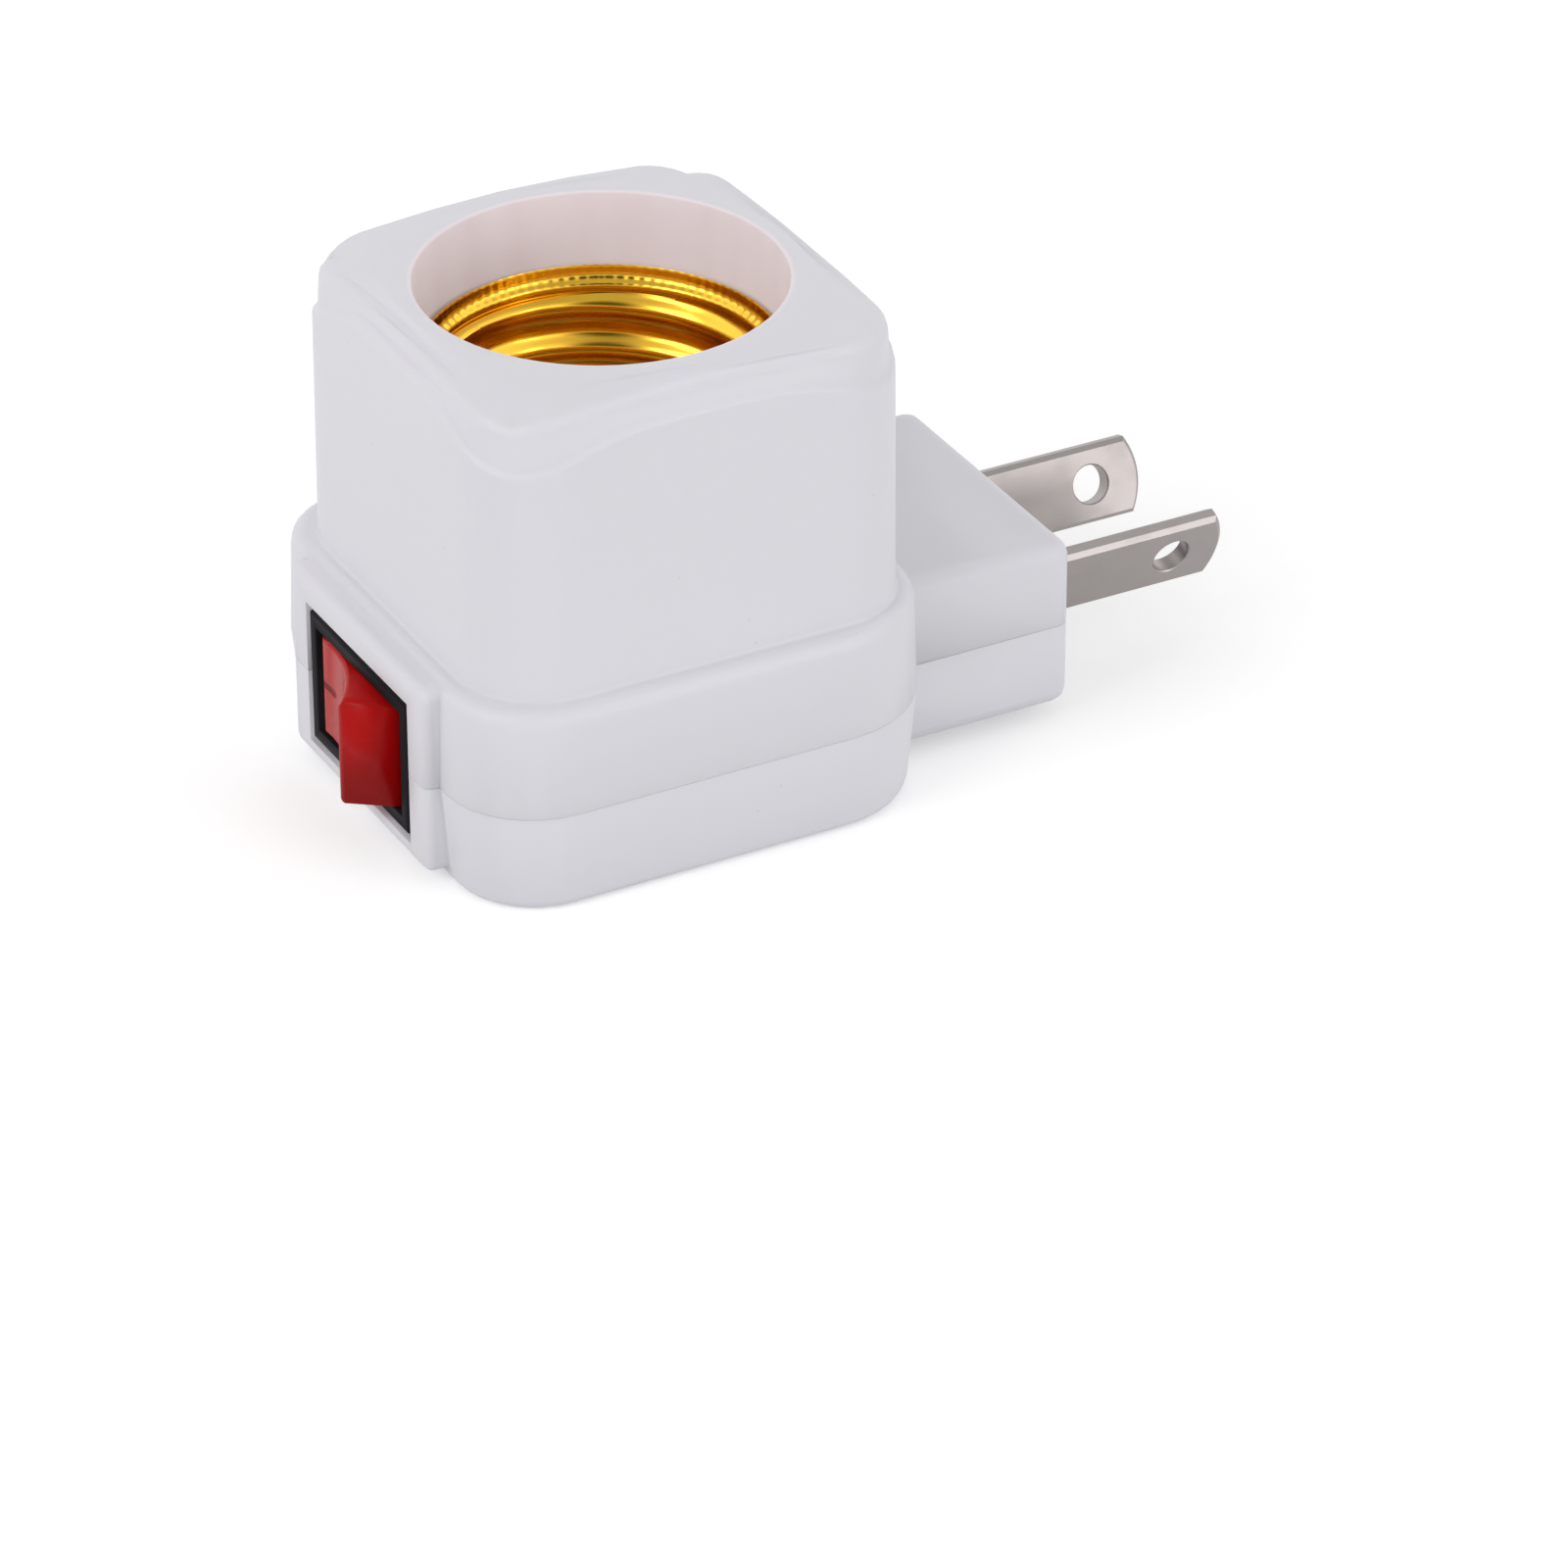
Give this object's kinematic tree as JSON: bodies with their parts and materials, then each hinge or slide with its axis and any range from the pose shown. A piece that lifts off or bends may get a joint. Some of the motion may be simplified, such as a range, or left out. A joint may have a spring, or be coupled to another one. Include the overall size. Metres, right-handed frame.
{
  "type": "plug-in lamp holder",
  "caption": "Wall plug with folding-angle flat pins, a screw-cap lamp socket in a square tower and a rocker switch.",
  "frame": {"origin": "middle of the square base, on the flat back face that the holder rests on", "axes": "+Z out of the lamp socket's mouth, +X out along the plug pins, the switch faces -X"},
  "size_m": [0.0765, 0.0406, 0.0416],
  "materials": {
    "white_moulding": "cool white ABS moulding, soft sheen",
    "black_nylon": "black moulded nylon",
    "red_rocker_plastic": "deep red moulding",
    "yellow_brass": "drawn and rolled sheet, bright",
    "nickel_plate": "bright nickel plating on brass, lightly tarnished",
    "zinc_steel": "zinc plated",
    "black_insulation": "flexible insulation",
    "white_insulation": "flexible insulation",
    "red_insulation": "flexible insulation"
  },
  "bodies": {
    "housing": {"front_shell": "white_moulding", "back_cover": "white_moulding", "screw_shell": "yellow_brass", "centre_contact": "yellow_brass", "rivet_centre": "yellow_brass", "rivet_shell_near": "yellow_brass", "rivet_shell_far": "yellow_brass", "tag_centre": "yellow_brass", "tag_shell": "yellow_brass", "pin_contact_near": "yellow_brass", "pin_contact_far": "yellow_brass", "switch_body": "black_nylon", "switch_terminal_common": "yellow_brass", "switch_terminal_load": "yellow_brass", "cover_screw_left": "zinc_steel", "cover_screw_right": "zinc_steel", "cover_screw_plug": "zinc_steel", "wire_live": "black_insulation", "wire_neutral": "white_insulation", "wire_switched": "red_insulation"},
    "rocker": {"switch_rocker": "red_rocker_plastic", "rocker_plunger": "yellow_brass", "rocker_spring": "zinc_steel"},
    "lever": {"contact_lever": "yellow_brass"},
    "pin_near": {"plug_pin_near": "nickel_plate", "pin_hub_near": "white_moulding"},
    "pin_far": {"plug_pin_far": "nickel_plate", "pin_hub_far": "white_moulding"}
  },
  "joints": [
    {"name": "rocker_tilt", "type": "hinge", "parent": "housing", "child": "rocker", "pos_m": [-0.01875, 0, 0.0085], "axis": [0, 0, 1], "range_deg": [0, 38]},
    {"name": "lever_tilt", "type": "hinge", "parent": "housing", "child": "lever", "pos_m": [-0.0131, 0, 0.0085], "axis": [0, 0, 1], "range_deg": [-10, 0]},
    {"name": "pin_near_turn", "type": "hinge", "parent": "housing", "child": "pin_near", "pos_m": [0.0345, -0.00635, 0.0085], "axis": [1, 0, 0], "range_deg": [-18, 12]},
    {"name": "pin_far_turn", "type": "hinge", "parent": "housing", "child": "pin_far", "pos_m": [0.0345, 0.00635, 0.0085], "axis": [1, 0, 0], "range_deg": [-12, 18]}
  ],
  "couplings": [
    {"joint": "lever_tilt", "follows": "rocker_tilt", "ratio": -0.2631}
  ]
}
